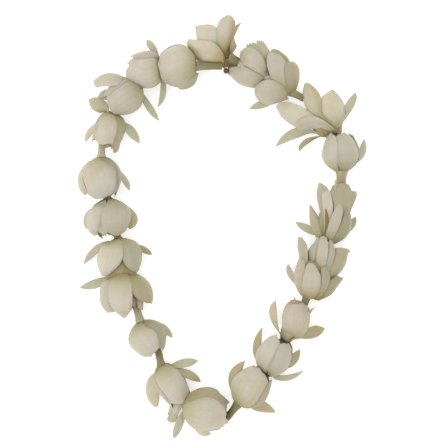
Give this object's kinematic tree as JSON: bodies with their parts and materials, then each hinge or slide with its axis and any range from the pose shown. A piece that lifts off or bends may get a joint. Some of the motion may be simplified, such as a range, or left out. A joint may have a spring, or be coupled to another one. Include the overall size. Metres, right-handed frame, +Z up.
{
  "type": "fresh flower lei",
  "caption": "Small closed garland of half-open double jasmine flowers threaded head to tail, lying flat in a pear-shaped loop.",
  "frame": {"origin": "middle of the lei's box in plan, on the surface that it lies on", "axes": "+Z up out of the surface, +Y along the long side of the pear-shaped loop towards its broad end with the knot, +X to the right seen from above"},
  "size_m": [0.1388, 0.2048, 0.0198],
  "materials": {
    "petal": "soft matt petal, ivory with a green-yellow shade at the foot",
    "tube": "smooth matt plant skin, olive green",
    "thread": "twisted cotton, brown"
  },
  "bodies": {
    "root": {"flower_01_petals": "petal", "flower_01_tube": "tube", "flower_02_petals": "petal", "flower_02_tube": "tube", "flower_03_petals": "petal", "flower_03_tube": "tube", "flower_04_petals": "petal", "flower_04_tube": "tube", "flower_05_petals": "petal", "flower_05_tube": "tube", "flower_06_petals": "petal", "flower_06_tube": "tube", "flower_07_petals": "petal", "flower_07_tube": "tube", "flower_08_petals": "petal", "flower_08_tube": "tube", "flower_09_petals": "petal", "flower_09_tube": "tube", "flower_10_petals": "petal", "flower_10_tube": "tube", "flower_11_petals": "petal", "flower_11_tube": "tube", "flower_12_petals": "petal", "flower_12_tube": "tube", "flower_13_petals": "petal", "flower_13_tube": "tube", "flower_14_petals": "petal", "flower_14_tube": "tube", "flower_15_petals": "petal", "flower_15_tube": "tube", "flower_16_petals": "petal", "flower_16_tube": "tube", "flower_17_petals": "petal", "flower_17_tube": "tube", "flower_18_petals": "petal", "flower_18_tube": "tube", "flower_19_petals": "petal", "flower_19_tube": "tube", "flower_20_petals": "petal", "flower_20_tube": "tube", "flower_21_petals": "petal", "flower_21_tube": "tube", "flower_22_petals": "petal", "flower_22_tube": "tube", "thread": "thread"}
  },
  "joints": []
}
